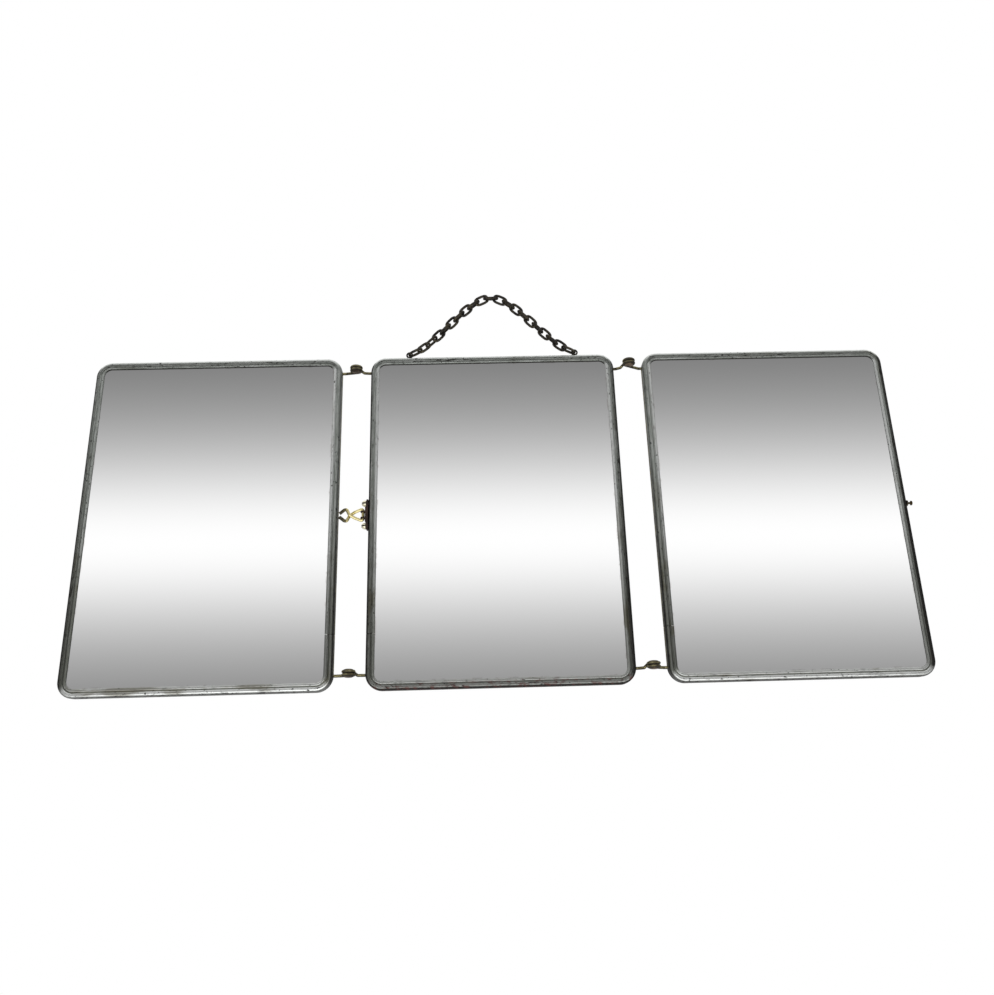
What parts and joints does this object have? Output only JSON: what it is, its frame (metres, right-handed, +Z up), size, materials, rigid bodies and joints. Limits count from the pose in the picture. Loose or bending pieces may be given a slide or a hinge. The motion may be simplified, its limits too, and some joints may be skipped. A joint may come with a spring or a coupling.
{
  "type": "folding three-panel mirror",
  "caption": "Folding barber's mirror: framed mirror panels on riveted wire hinges, with a spring clasp, a catch stud and a hanging chain.",
  "frame": {"origin": "top of the nail that carries the chain, right under the chain's apex link", "axes": "+X to the viewer's right along the open panels, +Y from the mirrors' faces to their backs, +Z up"},
  "size_m": [0.6855, 0.0179, 0.3446],
  "materials": {
    "frame_left_tin": "worn tinned sheet, grey with dark pits",
    "mirror_glass_left_silver": "clear silvered mirror",
    "card_pad_left_card": "plain brown card",
    "back_plate_left_tin": "dull tinned sheet",
    "frame_centre_tin": "worn tinned sheet, grey with dark pits",
    "mirror_glass_centre_silver": "clear silvered mirror",
    "card_pad_centre_card": "plain brown card",
    "back_plate_centre_tin": "dull tinned sheet",
    "frame_right_tin": "worn tinned sheet, grey with dark pits",
    "mirror_glass_right_silver": "clear silvered mirror",
    "card_pad_right_card": "plain brown card",
    "back_plate_right_tin": "dull tinned sheet",
    "hinge_rod_left_outer_wire": "dull, olive-brown tarnish",
    "hinge_rod_centre_left_wire": "dull, olive-brown tarnish",
    "hinge_rod_centre_right_wire": "dull, olive-brown tarnish",
    "hinge_rod_right_outer_wire": "dull, olive-brown tarnish",
    "hinge_rivet_left_top_iron": "dark brown iron",
    "hinge_rivet_left_bottom_iron": "dark brown iron",
    "hinge_rivet_right_top_iron": "dark brown iron",
    "hinge_rivet_right_bottom_iron": "dark brown iron",
    "clasp_base_plate_iron": "dark brown iron",
    "clasp_screw_top_brass": "worn brass",
    "clasp_screw_bottom_brass": "worn brass",
    "clasp_spring_wire_brass": "worn brass, dark at the jaw",
    "catch_stud_brass": "tarnished brass",
    "chain_eye_left_iron": "dark iron",
    "chain_eye_right_iron": "dark iron",
    "chain_link_01_iron": "dark brown-black iron",
    "chain_link_02_iron": "dark brown-black iron",
    "chain_link_03_iron": "dark brown-black iron",
    "chain_link_04_iron": "dark brown-black iron",
    "chain_link_05_iron": "dark brown-black iron",
    "chain_link_06_iron": "dark brown-black iron",
    "chain_link_07_iron": "dark brown-black iron",
    "chain_link_08_iron": "dark brown-black iron",
    "chain_link_09_iron": "dark brown-black iron",
    "chain_link_10_iron": "dark brown-black iron",
    "chain_link_11_iron": "dark brown-black iron",
    "chain_link_12_iron": "dark brown-black iron",
    "chain_link_13_iron": "dark brown-black iron",
    "chain_link_14_iron": "dark brown-black iron",
    "chain_link_15_iron": "dark brown-black iron",
    "chain_link_16_iron": "dark brown-black iron",
    "chain_link_17_iron": "dark brown-black iron",
    "chain_link_18_iron": "dark brown-black iron",
    "chain_link_19_iron": "dark brown-black iron",
    "chain_link_20_iron": "dark brown-black iron",
    "chain_link_21_iron": "dark brown-black iron"
  },
  "bodies": {
    "chain": {"chain_link_01": "chain_link_01_iron", "chain_link_02": "chain_link_02_iron", "chain_link_03": "chain_link_03_iron", "chain_link_04": "chain_link_04_iron", "chain_link_05": "chain_link_05_iron", "chain_link_06": "chain_link_06_iron", "chain_link_07": "chain_link_07_iron", "chain_link_08": "chain_link_08_iron", "chain_link_09": "chain_link_09_iron", "chain_link_10": "chain_link_10_iron", "chain_link_11": "chain_link_11_iron", "chain_link_12": "chain_link_12_iron", "chain_link_13": "chain_link_13_iron", "chain_link_14": "chain_link_14_iron", "chain_link_15": "chain_link_15_iron", "chain_link_16": "chain_link_16_iron", "chain_link_17": "chain_link_17_iron", "chain_link_18": "chain_link_18_iron", "chain_link_19": "chain_link_19_iron", "chain_link_20": "chain_link_20_iron", "chain_link_21": "chain_link_21_iron"},
    "centre": {"frame_centre": "frame_centre_tin", "mirror_glass_centre": "mirror_glass_centre_silver", "card_pad_centre": "card_pad_centre_card", "back_plate_centre": "back_plate_centre_tin", "hinge_rod_centre_left": "hinge_rod_centre_left_wire", "hinge_rod_centre_right": "hinge_rod_centre_right_wire", "hinge_rivet_left_top": "hinge_rivet_left_top_iron", "hinge_rivet_left_bottom": "hinge_rivet_left_bottom_iron", "hinge_rivet_right_top": "hinge_rivet_right_top_iron", "hinge_rivet_right_bottom": "hinge_rivet_right_bottom_iron", "clasp_base_plate": "clasp_base_plate_iron", "clasp_screw_top": "clasp_screw_top_brass", "clasp_screw_bottom": "clasp_screw_bottom_brass", "chain_eye_left": "chain_eye_left_iron", "chain_eye_right": "chain_eye_right_iron"},
    "left": {"frame_left": "frame_left_tin", "mirror_glass_left": "mirror_glass_left_silver", "card_pad_left": "card_pad_left_card", "back_plate_left": "back_plate_left_tin", "hinge_rod_left_outer": "hinge_rod_left_outer_wire"},
    "right": {"frame_right": "frame_right_tin", "mirror_glass_right": "mirror_glass_right_silver", "card_pad_right": "card_pad_right_card", "back_plate_right": "back_plate_right_tin", "hinge_rod_right_outer": "hinge_rod_right_outer_wire", "catch_stud": "catch_stud_brass"},
    "clasp": {"clasp_spring_wire": "clasp_spring_wire_brass"}
  },
  "joints": [
    {"name": "hang_tilt", "type": "hinge", "parent": "chain", "child": "centre", "pos_m": [0, -0.00075, -0.0527], "axis": [-1, 0, 0], "range_deg": [0, 20]},
    {"name": "left_fold", "type": "hinge", "parent": "centre", "child": "left", "pos_m": [-0.1175, -0.0043, -0.1975], "axis": [0, 0, 1], "range_deg": [-40, 180]},
    {"name": "right_fold", "type": "hinge", "parent": "centre", "child": "right", "pos_m": [0.1175, -0.0086, -0.1975], "axis": [0, 0, -1], "range_deg": [-40, 180]},
    {"name": "clasp_swing", "type": "hinge", "parent": "centre", "child": "clasp", "pos_m": [-0.1095, -0.001, -0.1975], "axis": [0, 0, 1], "range_deg": [0, 95]}
  ]
}
